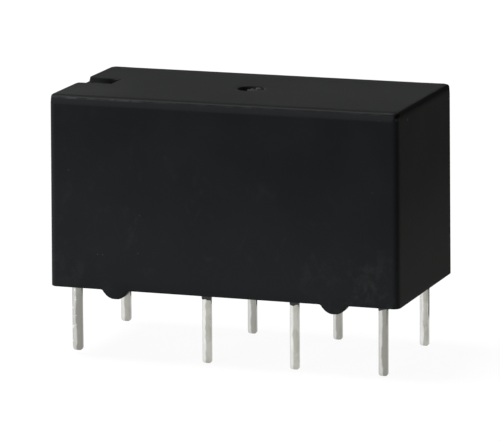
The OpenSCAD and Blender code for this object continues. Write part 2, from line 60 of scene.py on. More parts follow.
# Forms of the solids, in millimetres; heights are above the board
WALL = 0.6
DRAFT = 0.06
EDGE_RADIUS = 0.4
INNER_RADIUS = 0.2
RIM_Z = 0.5
CAVITY_Z = 10.65
COIL_STANDOFF_INSET = 3.85
CONTACT_STANDOFF_INSET = 3.7
STANDOFF_HALF = 0.75
STANDOFF_FOOT = 0.15
STANDOFF_FILLET = 0.2
NOTCH_LENGTH = 2.15
NOTCH_WIDTH = 1.65
NOTCH_DEPTH = 0.3
GATE_RADIUS = 0.75
RESIN_Z = 0.65
BASE_Z = 1.1
PIN_FOOT_Z = -3.5

# Forms of the finish, in millimetres; the cap is what stands above the parting line round the top
CAP_HEIGHT = 0.45
CAP_INSET = 0.02
RIM_EASE = 0.05
NOTCH_MOUTH = 0.5
NOTCH_CORNER = 0.12
GATE_DEPTH = 0.27
TIN = 0.015
WIRE_PITCH = 0.1
WINDING_BORE = 1.54


def span(node, axis):
    """Lowest and highest place of a CAD node along an axis, in millimetres."""
    low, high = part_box(node)
    return low[axis] / MM, high[axis] / MM


COVER_X = span("cover", 0)
COVER_HALF = span("cover", 1)[1]
TOP_Z = span("cover", 2)[1]
PARTING_Z = TOP_Z - CAP_HEIGHT


def clamped(value):
    """value, held between 0 and 1."""
    return max(0.0, min(1.0, value))


def mirrored(values):
    """Each value and its negative."""
    return [side * value for value in values for side in (-1, 1)]


def steps(start, end, count):
    """The ends of count equal steps from start to end."""
    return [start + (end - start) * i / count for i in range(count + 1)]


def merged(values, gap=0.015):
    """values in order, without those that come within gap of the one before."""
    kept = []
    for value in sorted(values):
        if not kept or value - kept[-1] > gap:
            kept.append(value)
    return kept


def between(table, value):
    """Linear interpolation in a table of rows that start with a rising key."""
    for low, high in zip(table, table[1:]):
        if value <= high[0]:
            share = max(0.0, (value - low[0]) / (high[0] - low[0]))
            return [a + (b - a) * share for a, b in zip(low[1:], high[1:])]
    return list(table[-1][1:])


# Node materials


# Places of a Mix node's colour sockets among its inputs and outputs, which share their names with others
COLOUR_A, COLOUR_B = 6, 7
COLOUR_RESULT = 2


class Paint:
    """Wires one node material round a Principled shader; lengths are in millimetres."""

    def __init__(self, name, **fixed):
        self.material = bpy.data.materials.new(name)
        self.material.use_nodes = True
        self.tree = self.material.node_tree
        self.shader = self.tree.nodes["Principled BSDF"]
        for socket, value in fixed.items():
            self.shader.inputs[socket.replace("_", " ")].default_value = value
        self.place = self.vector("MULTIPLY", self.output("TexCoord", "Object"), (1 / MM,) * 3)

    def node(self, kind, **settings):
        made = self.tree.nodes.new("ShaderNode" + kind)
        for key, value in settings.items():
            setattr(made, key, value)
        return made

    def output(self, kind, socket, **settings):
        return self.node(kind, **settings).outputs[socket]

    def feed(self, socket, value):
        """Links another node's output to a socket, or sets the socket to a number."""
        if isinstance(value, bpy.types.NodeSocket):
            self.tree.links.new(value, socket)
        else:
            socket.default_value = value

    def fed(self, made, values):
        """A node with values fed to its first sockets."""
        for socket, value in zip(made.inputs, values):
            self.feed(socket, value)
        return made

    def math(self, operation, *values):
        return self.fed(self.node("Math", operation=operation), values).outputs[0]

    def times(self, product, *factors):
        for factor in factors:
            product = self.math("MULTIPLY", product, factor)
        return product

    def scaled(self, value, factor, offset):
        """value times factor, plus offset."""
        return self.math("MULTIPLY_ADD", value, factor, offset)

    def vector(self, operation, *values):
        made = self.fed(self.node("VectorMath", operation=operation), values)
        return made.outputs["Value" if operation in ("DISTANCE", "DOT_PRODUCT") else "Vector"]

    def parts(self, vector):
        """The X, Y and Z of a vector."""
        return self.fed(self.node("SeparateXYZ"), (vector,)).outputs

    def noise(self, scale, detail, stretch=(1, 1, 1), roughness=0.5, distortion=0.0):
        place = self.vector("MULTIPLY", self.place, stretch)
        made = self.node("TexNoise")
        for socket, value in zip(("Vector", "Scale", "Detail", "Roughness", "Distortion"),
                                 (place, scale, detail, roughness, distortion)):
            self.feed(made.inputs[socket], value)
        return made.outputs["Fac"]

    def dots(self, scale, outer, inner):
        """Scattered round dots, 0 outside their outer radius and 1 inside their inner one, in cells."""
        made = self.node("TexVoronoi")
        self.feed(made.inputs["Vector"], self.place)
        self.feed(made.inputs["Scale"], scale)
        return self.ramp(made.outputs["Distance"], outer, inner)

    def ramp(self, value, low, high, start=0.0, end=1.0):
        """A smooth step from start, where value is low, to end, where it is high."""
        made = self.node("MapRange", interpolation_type="SMOOTHSTEP")
        return self.fed(made, (value, low, high, start, end)).outputs[0]

    def mix(self, share, first, second):
        """share of the second colour over the first; a colour is a socket or linear red, green and blue."""
        made = self.node("Mix", data_type="RGBA")
        self.feed(made.inputs["Factor"], share)
        for socket, colour in zip((made.inputs[COLOUR_A], made.inputs[COLOUR_B]), (first, second)):
            self.feed(socket, colour if isinstance(colour, bpy.types.NodeSocket) else (*colour, 1))
        return made.outputs[COLOUR_RESULT]

    def bump(self, height, distance, strength, normal=None):
        """Bump from a height between 0 and 1 that stands for distance millimetres."""
        made = self.node("Bump")
        self.feed(made.inputs["Strength"], strength)
        self.feed(made.inputs["Distance"], distance * MM)
        self.feed(made.inputs["Height"], height)
        if normal is not None:
            self.feed(made.inputs["Normal"], normal)
        return made.outputs["Normal"]

    def finish(self, colour, roughness, normal):
        """The material, once its shader has these."""
        for socket, value in (("Base Color", colour), ("Roughness", roughness), ("Normal", normal)):
            self.feed(self.shader.inputs[socket], value)
        return self.material


def moulded(name, colour, pale, roughness, specular):
    """Moulded plastic with a fine eroded grain, faint flow clouds and rubbed smudges."""
    paint = Paint(name, Specular_IOR_Level=specular)
    clouds = paint.noise(0.35, 4, roughness=0.6)
    rubbed = paint.ramp(paint.noise(1.1, 5, stretch=(1, 1, 0.45), roughness=0.7, distortion=0.6), 0.52, 0.72)
    grain = paint.noise(14, 2)
    tone = paint.scaled(paint.ramp(clouds, 0.3, 0.7), 0.5, paint.times(rubbed, 0.25))
    rough = paint.scaled(grain, 0.12, paint.scaled(rubbed, -0.08, roughness - 0.06))
    return paint.finish(paint.mix(tone, colour, pale), rough, paint.bump(grain, 0.004, 0.6))


# The plastic's tone near the top, and near the rim where it is lighter as painted bounce light, and the
# painted shade where little light gets in
UPPER_BLACK = (0.0074, 0.0076, 0.0078)
LOWER_BLACK = (0.0122, 0.0125, 0.0128)
PIT_BLACK = (0.0005, 0.0005, 0.0005)
# Place and size of each nick on the top's edges
NICKS = (
    ((9.96, -4.9, 10.86), 0.1), ((10.1, -3.3, 10.62), 0.09),
    ((2.06, -5.0, 10.91), 0.09), ((9.0, -5.0, 10.8), 0.07),
)


def cover_plastic():
    """Black satin moulding: grain on the faces, polished edges, dust specks and rubbed smudges, with painted
    light
    and shade: bounce light low down, sheen on the roof's corner and the cap, shade on the edges, the contact
    end and in the pockets, and a highlight along the crest and on the sprue.

    How much there is of each tone goes by the place (along X, across Y and its height, in millimetres)
    and by how squarely the surface looks along X, Y and Z (x, y and z, from 0 to 1).
    """
    paint = Paint("cover_plastic", Specular_IOR_Level=0.045)
    normal = paint.output("NewGeometry", "Normal")
    x, y, z = paint.parts(paint.vector("ABSOLUTE", normal))
    towards_contacts = paint.parts(normal)[0]
    along, across, height = paint.parts(paint.place)
    recess = paint.output("Attribute", "Fac", attribute_name="recess")
    # Painted highlight on the torn top of the sprue, together with its stress whitening
    torn = paint.output("Attribute", "Fac", attribute_name="sprue_highlight_and_whitening")

    # The faces: painted bounce light, paler towards the rim and low on the ends, and painted sheen at the
    # roof's front corner over the coil
    painted_bounce_light = paint.ramp(paint.vector("DOT_PRODUCT", paint.place, (0.25, 0, 1)), 11.5, 0.0)
    painted_end_bounce_light = paint.times(paint.ramp(height, 8.0, 1.0), paint.ramp(x, 0.6, 0.95))
    painted_roof_sheen = paint.times(
        paint.ramp(along, -5.0, -9.5), paint.ramp(across, 0.5, -3.0), paint.ramp(z, 0.9, 0.99))
    clouds = paint.ramp(paint.noise(0.22, 3, roughness=0.6), 0.35, 0.7)

    # Smears everywhere, and the marks of handling low on the long sides, towards their ends
    rubbed = paint.ramp(paint.noise(0.9, 6, stretch=(1, 1, 0.6), roughness=0.72, distortion=0.8), 0.56, 0.74)
    smears = paint.times(rubbed, paint.scaled(painted_bounce_light, 0.3, 0.08))
    near_contacts = paint.times(paint.ramp(along, 4.0, 9.4), paint.ramp(height, 4.6, 1.2))
    near_coil = paint.times(paint.ramp(along, -5.0, -9.0, 0.0, 0.5), paint.ramp(height, 4.0, 1.0))
    handled = paint.times(paint.math("ADD", near_contacts, near_coil), paint.ramp(y, 0.8, 0.95))
    touched = paint.ramp(
        paint.noise(1.3, 7, stretch=(1, 1, 0.9), roughness=0.72, distortion=0.3), 0.46, 0.66)

    # Dust in some places only, and nicks on the edges
    specks = paint.times(paint.dots(1.3, 0.05, 0.02), paint.ramp(paint.noise(0.6, 1), 0.5, 0.62))
    for place, size in NICKS:
        off = paint.vector("DISTANCE", paint.place, place)
        specks = paint.math("MAXIMUM", specks, paint.ramp(off, size, size * 0.4))

    # The cap above the parting line: painted sheen as a paler band on the long sides, and painted shade on
    # the contact end
    cap = paint.times(paint.ramp(height, PARTING_Z - 0.16, PARTING_Z + 0.14), paint.ramp(y, 0.93, 0.98))
    painted_contact_end_shade = paint.times(
        paint.ramp(height, TOP_Z - 0.52, TOP_Z - 0.2), paint.ramp(towards_contacts, 0.15, 0.6),
        paint.ramp(along, COVER_X[1] - 1.0, COVER_X[1] - 0.6))

    # Painted shade on the rounded edges, but for the coil end's, and a painted highlight along the crest of
    # the long sides, broken into worn dashes
    edge = paint.ramp(paint.math("MAXIMUM", x, paint.math("MAXIMUM", y, z)), 0.995, 0.95)
    painted_edge_shade = paint.times(
        edge, paint.ramp(z, 0.1, 0.3, 0.25, 0.8), paint.ramp(towards_contacts, -0.5, -0.15))
    worn = paint.ramp(paint.noise(1.3, 4, stretch=(1, 0.2, 0.2), roughness=0.7), 0.4, 0.62, 0.2, 0.8)
    crest_highlight_and_wear = paint.times(
        paint.ramp(z, 0.18, 0.3), paint.ramp(z, 0.78, 0.6),
        paint.ramp(paint.math("ABSOLUTE", across), 4.4, 4.7),
        paint.ramp(height, TOP_Z - 0.36, TOP_Z - 0.28),
        paint.ramp(along, -1.0, -8.0, 0.26, 0.75), worn)

    base = paint.mix(painted_bounce_light, UPPER_BLACK, LOWER_BLACK)
    for share, tone in (
        (painted_end_bounce_light, (0.0155, 0.0158, 0.016)),
        (painted_roof_sheen, (0.0125, 0.0128, 0.0128)),
        (paint.times(clouds, 0.2), (0.016, 0.0165, 0.0165)),
        (smears, (0.024, 0.027, 0.025)),
        (paint.times(handled, paint.times(touched, 0.5)), (0.031, 0.032, 0.0285)),
        (paint.times(specks, 0.5), (0.09, 0.09, 0.085)),
        # Painted sheen on the cap's band
        (paint.times(cap, 0.3), (0.026, 0.027, 0.028)),
        (painted_edge_shade, (0.0025, 0.0025, 0.0025)),
        (crest_highlight_and_wear, (0.045, 0.046, 0.045)),
        (painted_contact_end_shade, PIT_BLACK),
        # The sprue's painted highlight and stress whitening
        (paint.times(torn, 0.6), (0.04, 0.04, 0.04)),
        (recess, PIT_BLACK),
    ):
        base = paint.mix(share, base, tone)
    grain = paint.noise(9, 3)
    rough = paint.scaled(edge, -0.42, paint.scaled(grain, 0.10, 0.82))
    rough = paint.math("MAXIMUM", rough, paint.math("MAXIMUM", recess, painted_contact_end_shade))
    return paint.finish(base, rough, paint.bump(grain, 0.004, 0.35))


def resin():
    """Poured black epoxy: glossy, with a faint amber depth and small pits."""
    paint = Paint("sealing_resin", Specular_IOR_Level=0.4)
    waves = paint.noise(0.7, 3, distortion=0.5)
    pits = paint.dots(2.2, 0.09, 0.03)
    shade = paint.mix(waves, (0.006, 0.006, 0.0065), (0.013, 0.012, 0.011))
    relief = paint.bump(pits, 0.01, 0.5, paint.bump(waves, 0.03, 0.6))
    return paint.finish(shade, paint.scaled(waves, 0.16, 0.10), relief)


def tin():
    """Hot-dipped tin: bright, mottled, with a slightly lumpy skin and dull patches, a painted highlight down
    the left of each pin, and bright dross flecks there that are partly painted glints.

    The pins carry two attributes: across, from 0 to 1 over their width, and dull, how far they have dulled.
    """
    paint = Paint("tinned_strip", Metallic=1.0)
    across = paint.output("Attribute", "Fac", attribute_name="across")
    dull = paint.output("Attribute", "Fac", attribute_name="dull")
    patches = paint.ramp(paint.noise(2.4, 4, stretch=(1, 1, 0.5), roughness=0.6, distortion=0.4), 0.35, 0.68)
    wander = paint.noise(0.9, 3, stretch=(0.4, 0.4, 1))
    # Painted highlight: a paler band down the left of each pin, less where the tin has dulled
    painted_left_highlight = paint.ramp(paint.scaled(wander, 0.5, across), 0.76, 0.56)
    # Bright flecks of dross on the left of the dullest pins, partly painted glints where the light falls
    dross_and_glints = paint.ramp(paint.noise(3.2, 3, stretch=(1, 1, 0.8), roughness=0.65), 0.56, 0.66)
    dross_and_glints = paint.times(dross_and_glints, paint.ramp(dull, 0.92, 0.99), paint.ramp(across, 0.6, 0.35))
    shade = paint.mix(patches, (0.46, 0.455, 0.42), (0.37, 0.365, 0.32))
    shade = paint.mix(dull, shade, (0.25, 0.247, 0.222))
    shade = paint.mix(paint.times(painted_left_highlight, paint.scaled(dull, -0.4, 1.0)), shade, (0.70, 0.70, 0.67))
    shade = paint.mix(dross_and_glints, shade, (0.8, 0.8, 0.76))
    lumps = paint.noise(1.6, 2, stretch=(1, 1, 0.3))
    scratches = paint.noise(14, 3, stretch=(1, 1, 0.06))
    rough = paint.scaled(patches, 0.06, paint.scaled(scratches, 0.06, 0.10))
    return paint.finish(shade, rough, paint.bump(scratches, 0.002, 0.5, paint.bump(lumps, 0.03, 0.8)))


def rolled_metal(name, bright, dull, roughness):
    """Sheet or plated metal with a fine rolled grain and faint tarnish."""
    paint = Paint(name, Metallic=1.0)
    tarnish = paint.ramp(paint.noise(0.8, 4, roughness=0.65), 0.35, 0.75)
    grain = paint.noise(30, 2, stretch=(0.05, 1, 1))
    rough = paint.scaled(tarnish, 0.14, paint.scaled(grain, 0.12, roughness))
    return paint.finish(paint.mix(tarnish, bright, dull), rough, paint.bump(grain, 0.0015, 0.5))


def enamelled_wire():
    """Copper under a clear amber enamel, a little darker from turn to turn."""
    paint = Paint("copper_wire", Metallic=0.9, Coat_Weight=0.5, Coat_Roughness=0.12)
    turns = paint.noise(1.2, 3, stretch=(1, 1, 6))
    shade = paint.mix(turns, (0.46, 0.15, 0.05), (0.62, 0.26, 0.10))
    return paint.finish(shade, paint.scaled(turns, 0.15, 0.24), paint.bump(turns, 0.003, 0.4))


MATERIALS = {
    "cover_plastic": cover_plastic(),
    "base_plastic": moulded(
        "base_plastic", (0.018, 0.019, 0.02), (0.032, 0.033, 0.034), roughness=0.5, specular=0.3),
    "sealing_resin": resin(),
    "bobbin_plastic": moulded(
        "bobbin_plastic", (0.63, 0.58, 0.46), (0.72, 0.68, 0.58), roughness=0.42, specular=0.4),
    "card_plastic": moulded(
        "card_plastic", (0.76, 0.72, 0.62), (0.84, 0.81, 0.73), roughness=0.4, specular=0.4),
    "copper_wire": enamelled_wire(),
    "plated_iron": rolled_metal("plated_iron", (0.62, 0.62, 0.61), (0.46, 0.46, 0.45), roughness=0.26),
    "spring_bronze": rolled_metal("spring_bronze", (0.68, 0.45, 0.2), (0.5, 0.3, 0.12), roughness=0.22),
    "tinned_strip": tin(),
    "contact_silver": rolled_metal("contact_silver", (0.86, 0.85, 0.81), (0.66, 0.64, 0.58), roughness=0.2),
}


# Mesh helpers


def add_piece(name, mesh, node):
    """Shows mesh, in millimetres, in place of a CAD node: same body, same material slot."""
    mesh.transform(Matrix.Scale(MM, 4))
    mesh.update()
    piece = bpy.data.objects.new(name, mesh)
    bpy.context.scene.collection.objects.link(piece)
    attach(piece, BODY_OF[node])
    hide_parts(node)
    mesh.materials.append(MATERIALS[SLOT_OF[node]])
    return piece


def smooth(mesh, angle):
    """Shades mesh smooth, but for the edges that are sharper than angle."""
    mesh.shade_smooth()
    mesh.set_sharp_from_angle(angle=math.radians(angle))


def node_bmesh(node):
    """A CAD node's mesh in millimetres, welded, with its flat faces whole."""
    shape = bmesh.new()
    shape.from_mesh(NODES[node].data)
    bmesh.ops.scale(shape, vec=(1 / MM,) * 3, verts=shape.verts)
    bmesh.ops.remove_doubles(shape, verts=shape.verts, dist=1e-4)
    bmesh.ops.dissolve_limit(shape, angle_limit=math.radians(1), verts=shape.verts, edges=shape.edges)
    return shape


def skin(shape, rows, closed=False):
    """Faces between rows of vertices, each joined end to end where closed; none where vertices coincide."""
    if closed:
        rows = [row + row[:1] for row in rows]
    for low, high in zip(rows, rows[1:]):
        for corners in zip(low, low[1:], high[1:], high):
            if len(set(corners)) == 4:
                shape.faces.new(corners)


def to_mesh(shape, name):
    mesh = bpy.data.meshes.new(name)
    bmesh.ops.recalc_face_normals(shape, faces=shape.faces)
    shape.to_mesh(mesh)
    shape.free()
    return mesh


def eased(node, radius, angle=40):
    """A CAD node with its sharp edges eased, as a stamped, moulded or turned piece has them."""
    mesh = to_mesh(node_bmesh(node), node)
    piece = add_piece(node + "_finish", mesh, node)
    bevel = piece.modifiers.new("eased_edges", "BEVEL")
    bevel.width = radius * MM
    bevel.segments = 2
    bevel.limit_method = "ANGLE"
    bevel.angle_limit = math.radians(angle)
    smooth(mesh, angle)
    bevel.harden_normals = True
    return piece


# The cover


# Grid lines that the points of the top edge lie on: inwards over the roof, and down the cap's side
ROOF_KEYS = (0.0, 0.05, 0.1, 0.16, 0.22, 0.32, 0.39, 0.48)
SIDE_KEYS = (0.0, 0.04, 0.08, 0.12, 0.16, 0.3, CAP_HEIGHT - 0.02, CAP_HEIGHT + 0.03)
# Steps of the round between them; both tables start at its middle point
TURN_STEPS = 8


def crest(foot_inset, lean, radius, tilt, run):
    """The cover's top edge as two tables of grid line, inset and drop: the roof's, and the cap's side.

    From the parting line up: the cap's side leans in by lean degrees, a round turns it over, and a shoulder
    at tilt degrees runs on over the roof for run millimetres.
    """
    last = 90 - lean
    middle = TURN_STEPS // 2
    slope = math.tan(math.radians(lean))
    turn_drop = radius * (math.cos(math.radians(tilt)) - math.cos(math.radians(last)))
    shoulder_drop = run * math.tan(math.radians(tilt)) * 0.8
    low = shoulder_drop + turn_drop
    inset = foot_inset + (CAP_HEIGHT - low) * slope
    turn = [
        (inset + radius * (math.sin(math.radians(last)) - math.sin(a)),
         low - radius * (math.cos(a) - math.cos(math.radians(last))))
        for a in (math.radians(last + (tilt - last) * i / TURN_STEPS) for i in range(TURN_STEPS + 1))
    ]
    edge, drop = turn[-1]
    # The shoulder is straight for 0.6 of its run, and then fades out into the level roof
    shoulder = [
        (edge + run * 0.6, drop - run * 0.6 * math.tan(math.radians(tilt))),
        (edge + run * 0.8, 0.06 * drop),
        (edge + run * 1.1, 0.0),
    ]
    side = [(inset + (foot_inset - inset) * share, low + (CAP_HEIGHT - low) * share) for share in (0.5, 0.94)]
    foot = [(0.0, CAP_HEIGHT + 0.03)]
    return (
        [(key, *point) for key, point in zip(ROOF_KEYS, turn[middle:] + shoulder)],
        [(key, *point) for key, point in zip(SIDE_KEYS, turn[middle::-1] + side + foot)],
    )


LONG_ROOF, LONG_SIDE = crest(foot_inset=CAP_INSET, lean=8, radius=0.19, tilt=24, run=0.18)
END_ROOF, END_SIDE = crest(foot_inset=0.0, lean=4, radius=0.17, tilt=4, run=0.06)


def crest_point(long_table, end_table, key, long_share):
    """Inset and drop of the top edge at a grid line, between the long sides' form and the ends'."""
    return [
        end + (along - end) * long_share
        for along, end in zip(between(long_table, key), between(end_table, key))
    ]


def wall_profile(depth, round_top, round_foot):
    """Offsets from a pocket's outline, and the height at each, from the open face down to its floor."""
    lean = 0.02
    quarter_turn = [math.pi / 2 * i / 3 for i in range(4)]
    top = [(round_top * (1 - math.sin(a)), -round_top * (1 - math.cos(a))) for a in quarter_turn]
    foot = [
        (-lean - round_foot * (1 - math.cos(a)), -depth + round_foot * (1 - math.sin(a)))
        for a in quarter_turn
    ]
    return top + foot


NOTCH_PROFILE = wall_profile(NOTCH_DEPTH, round_top=0.06, round_foot=0.05)
GATE_PROFILE = wall_profile(GATE_DEPTH, round_top=0.04, round_foot=0.05)


def depth_at(profile, distance):
    """Height against the open face, zero or less, at a signed distance from a pocket's outline."""
    if distance >= profile[0][0]:
        return 0.0
    for (d0, z0), (d1, z1) in zip(profile, profile[1:]):
        if distance >= d1:
            return z0 + (z1 - z0) * (d0 - distance) / max(d0 - d1, 1e-9)
    return profile[-1][1]


# A standoff's outline: an arc from its flat foot up to the rim, and a fillet that runs into the rim
STANDOFF_X = (COVER_X[0] + COIL_STANDOFF_INSET, COVER_X[1] - CONTACT_STANDOFF_INSET)
ARC_Z = (STANDOFF_HALF ** 2 - STANDOFF_FOOT ** 2 + RIM_Z ** 2) / (2 * RIM_Z)
ARC_RADIUS = math.hypot(STANDOFF_FOOT, ARC_Z)
FILLET_REACH = math.sqrt((ARC_RADIUS + STANDOFF_FILLET) ** 2 - (ARC_Z - RIM_Z + STANDOFF_FILLET) ** 2)
ARC_REACH = FILLET_REACH * ARC_RADIUS / (ARC_RADIUS + STANDOFF_FILLET)


def standoff_edge(x):
    """Height of the cover's lower edge on a long side: the rim, or a standoff's outline."""
    off = min(abs(x - centre) for centre in STANDOFF_X)
    if off <= STANDOFF_FOOT:
        return 0.0
    if off < ARC_REACH:
        return ARC_Z - math.sqrt(ARC_RADIUS ** 2 - off ** 2)
    if off < FILLET_REACH:
        return RIM_Z - STANDOFF_FILLET + math.sqrt(max(STANDOFF_FILLET ** 2 - (FILLET_REACH - off) ** 2, 0))
    return RIM_Z


# Distances from a standoff's middle, and outwards from the notch's side, at which the grid has lines
STANDOFF_LINES = (0.2, 0.35, 0.5, 0.65, 0.75, 0.83, 0.88, 0.93, 0.97, 1.0)
MOUTH_LINES = (0.12, 0.2, 0.3, 0.45, 0.6)
# The lines round the gate are rings out to the first distance, and straight again by the last
RING_START = 0.86
RING_FADE = 0.24
RING_END = RING_START + RING_FADE
# The broken sprue, from the gate's middle: X, Y and half size along each
SPRUE_STUB = (0.12, -0.16, 0.34, 0.3)
SPRUE_FLAP = (0.36, 0.4, 0.26, 0.34)
SPRUE_STUB_HEIGHT = 0.22
SPRUE_SLANT = 0.25
SPRUE_FLAP_HEIGHT = 0.25
# The most that recess, the share of shade on a pocket's wall, can be
DEEPEST_SHADE = 0.85


class Cover:
    """The moulded cover as one closed skin: a rounded drafted box with pockets in its roof and standoffs."""

    def __init__(self):
        self.middle = sum(COVER_X) / 2
        self.half = ((COVER_X[1] - COVER_X[0]) / 2, COVER_HALF)
        self.notch_x = COVER_X[0] + NOTCH_LENGTH
        self.shape = bmesh.new()
        self.shades = [self.shape.verts.layers.float.new(name) for name in ("recess", "sprue_highlight_and_whitening")]
        self.made = {}
        self.xs, self.ys, self.zs = self.grid_lines()

    def grid_lines(self):
        """Lines of the grid on the cube that the box is bent from, close together where there is form."""
        gate = steps(-0.6, 0.6, 12) + mirrored([RING_END])
        gate += mirrored([GATE_RADIUS + offset for offset, _ in GATE_PROFILE])
        xs = gate + steps(-8.6, 8.6, 22)
        xs += [x - self.middle + off for x in STANDOFF_X for off in mirrored(STANDOFF_LINES)]
        xs += [self.notch_x - self.middle + offset for offset, _ in NOTCH_PROFILE]
        beside_notch = [offset for offset, _ in NOTCH_PROFILE] + list(MOUTH_LINES)
        ys = gate + steps(-4, 4, 10) + mirrored([NOTCH_WIDTH / 2 + offset for offset in beside_notch])
        for lines, half in ((xs, self.half[0]), (ys, self.half[1])):
            fillet = [half - EDGE_RADIUS + EDGE_RADIUS * math.tan(math.radians(45 * i / 8)) for i in range(9)]
            lines += mirrored(fillet + [half - key for key in ROOF_KEYS])
        zs = [RIM_Z + 0.6, RIM_Z + 1.6] + steps(3.5, 9.5, 4) + [PARTING_Z - 0.06, PARTING_Z - 0.3]
        zs += [TOP_Z - key for key in SIDE_KEYS]
        return merged(xs), merged(ys), sorted(zs)

    def core_point(self, x, y, turn):
        """The point nearest to x, y on or in the rectangle that lies turn inside the walls."""
        return Vector([max(turn - half, min(half - turn, v)) for v, half in zip((x, y), self.half)])

    def rounded(self, x, y, z):
        """A point of the cube's skin, bent to the drafted box with round upright edges and a crested top."""
        from_end, from_side = self.half[0] - abs(x), self.half[1] - abs(y)
        inset, depth = min(from_end, from_side), TOP_Z - z
        long_share = clamped(0.5 + (from_end - from_side) / (2 * EDGE_RADIUS))
        if z == TOP_Z and inset < ROOF_KEYS[-1]:
            inset, depth = crest_point(LONG_ROOF, END_ROOF, inset, long_share)
        elif z < TOP_Z and depth < SIDE_KEYS[-1]:
            inset, depth = crest_point(LONG_SIDE, END_SIDE, depth, long_share)
        flat = Vector((x, y))
        core = self.core_point(x, y, EDGE_RADIUS)
        out = flat - core
        if out.length > 0:
            flat = core + out.normalized() * (EDGE_RADIUS - inset)
        return self.drafted(Vector((flat.x, flat.y, TOP_Z - depth)))

    def drafted(self, point):
        """Leans a point in for the draft, and moves it from the cube's middle to the cover's."""
        rise = (point.z - RIM_Z) / (TOP_Z - RIM_Z)
        for axis in (0, 1):
            point[axis] *= 1 - DRAFT / self.half[axis] * max(rise, 0)
        point.x += self.middle
        return point

    def mouth(self, x):
        """How much wider the notch is on each side at a grid line, because its outer corners are rounded."""
        return NOTCH_MOUTH * max(0.0, 1 - (x + self.half[0]) / NOTCH_MOUTH) ** 2

    def widened(self, x, y):
        """Moves the grid lines by the notch's side out to its rounded mouth, and those further off less."""
        off = abs(y) - NOTCH_WIDTH / 2
        share = clamped(1 - (abs(off) - 0.1) / MOUTH_LINES[-1])
        return y + math.copysign(self.mouth(x) * share, y)

    def pockets(self, point, mouth):
        """Sinks a point of the roof into the index notch and the gate recess."""
        across = abs(point.y) - NOTCH_WIDTH / 2 - mouth + NOTCH_CORNER
        along = point.x - self.notch_x + NOTCH_CORNER
        notch = math.hypot(max(across, 0), max(along, 0)) + min(max(across, along), 0) - NOTCH_CORNER
        point.z = min(point.z, TOP_Z + depth_at(NOTCH_PROFILE, notch))
        gate = math.hypot(point.x - self.middle, point.y) - GATE_RADIUS
        point.z = min(point.z, TOP_Z + depth_at(GATE_PROFILE, gate))
        if gate < -0.1:
            point.z += self.vestige(point.x - self.middle, point.y)
        return point

    def vestige(self, x, y):
        """Height of the broken sprue that stands in the gate recess: a slanting stub, or a flap beside it."""
        stub, flap = (
            clamped((1.1 - math.hypot((x - middle_x) / half_x, (y - middle_y) / half_y)) * 3)
            for middle_x, middle_y, half_x, half_y in (SPRUE_STUB, SPRUE_FLAP)
        )
        stub_height = SPRUE_STUB_HEIGHT + SPRUE_SLANT * (y - SPRUE_STUB[1])
        torn = 0.2 * noise.noise(Vector((x * 6, y * 6, 0.3)))
        return max(stub_height * stub, SPRUE_FLAP_HEIGHT * flap) * (1 + torn)

    def ringed(self, x, y):
        """Turns the grid lines round the gate into rings."""
        near = max(abs(x), abs(y))
        if not 0 < near < RING_END:
            return x, y
        share = clamped((near - RING_START) / RING_FADE)
        share = share * share * (3 - 2 * share)
        scale = near / math.hypot(x, y)
        scale += (1 - scale) * share
        return x * scale, y * scale

    def corner(self, x, y, z):
        """The vertex for one crossing of the cube's grid lines, made once."""
        key = (round(x, 5), round(y, 5), round(z, 5))
        if key not in self.made:
            mouth = self.mouth(x)
            if z == TOP_Z:
                x, y = self.ringed(x, y)
            if z > PARTING_Z:
                y = self.widened(x, y)
            point = self.pockets(self.rounded(x, y, z), mouth)
            self.made[key] = self.shape.verts.new(point)
            for layer, share in zip(self.shades, (self.recess_share(point), self.sprue_highlight_and_whitening_share(point))):
                self.made[key][layer] = share
        return self.made[key]

    def recess_share(self, point):
        """How far a point is in a pocket's shade: by the notch's side walls, or by the gate's left wall.

        It's full up to 0.1 mm from the wall and gone at 0.16 mm, and it fades out towards the notch's open
        end and the gate's middle.
        """
        if not 0.004 < TOP_Z - point.z < NOTCH_DEPTH + 0.02 or abs(point.y) > 1:
            return 0.0
        if point.x > self.notch_x + 1:
            x = point.x - self.middle
            from_wall = abs(math.hypot(x, point.y) - GATE_RADIUS)
            inward = (-x - 0.3) / 0.25
        elif point.x < self.notch_x + 0.1:
            from_wall = abs(NOTCH_WIDTH / 2 - abs(point.y))
            inward = (point.x - COVER_X[0] - 0.25) / 0.6
        else:
            return 0.0
        return DEEPEST_SHADE * clamped((0.16 - from_wall) / 0.06) * clamped(inward)

    def sprue_highlight_and_whitening_share(self, point):
        """1 on the torn top of the sprue in the gate recess, which is painted paler as its highlight and its
        stress whitening.
        """
        x, y = point.x - self.middle, point.y
        if math.hypot(x, y) >= GATE_RADIUS - 0.1:
            return 0.0
        return clamped((self.vestige(x, y) - 0.12) * 12)

    def rim_point(self, x, y, inset, z):
        """A point on the loop of the rim that lies inset from the outer walls."""
        turn, radius = EDGE_RADIUS, EDGE_RADIUS - inset
        if inset > WALL / 2:
            turn, radius = WALL + INNER_RADIUS, WALL + INNER_RADIUS - inset
        out = Vector((x, y)) - self.core_point(x, y, EDGE_RADIUS)
        flat = self.core_point(x, y, turn) + out.normalized() * radius
        return self.drafted(Vector((flat.x, flat.y, z)))

    def build(self):
        """Closes the skin, and shows it in place of the cover's solid."""
        xs, ys, zs = self.xs, self.ys, self.zs
        end, side = xs[-1], ys[-1]
        skin(self.shape, [[self.corner(x, y, TOP_Z) for x in xs] for y in ys])
        for y in (-side, side):
            skin(self.shape, [[self.corner(x, y, z) for x in xs] for z in zs])
        for x in (-end, end):
            skin(self.shape, [[self.corner(x, y, z) for y in ys] for z in zs])

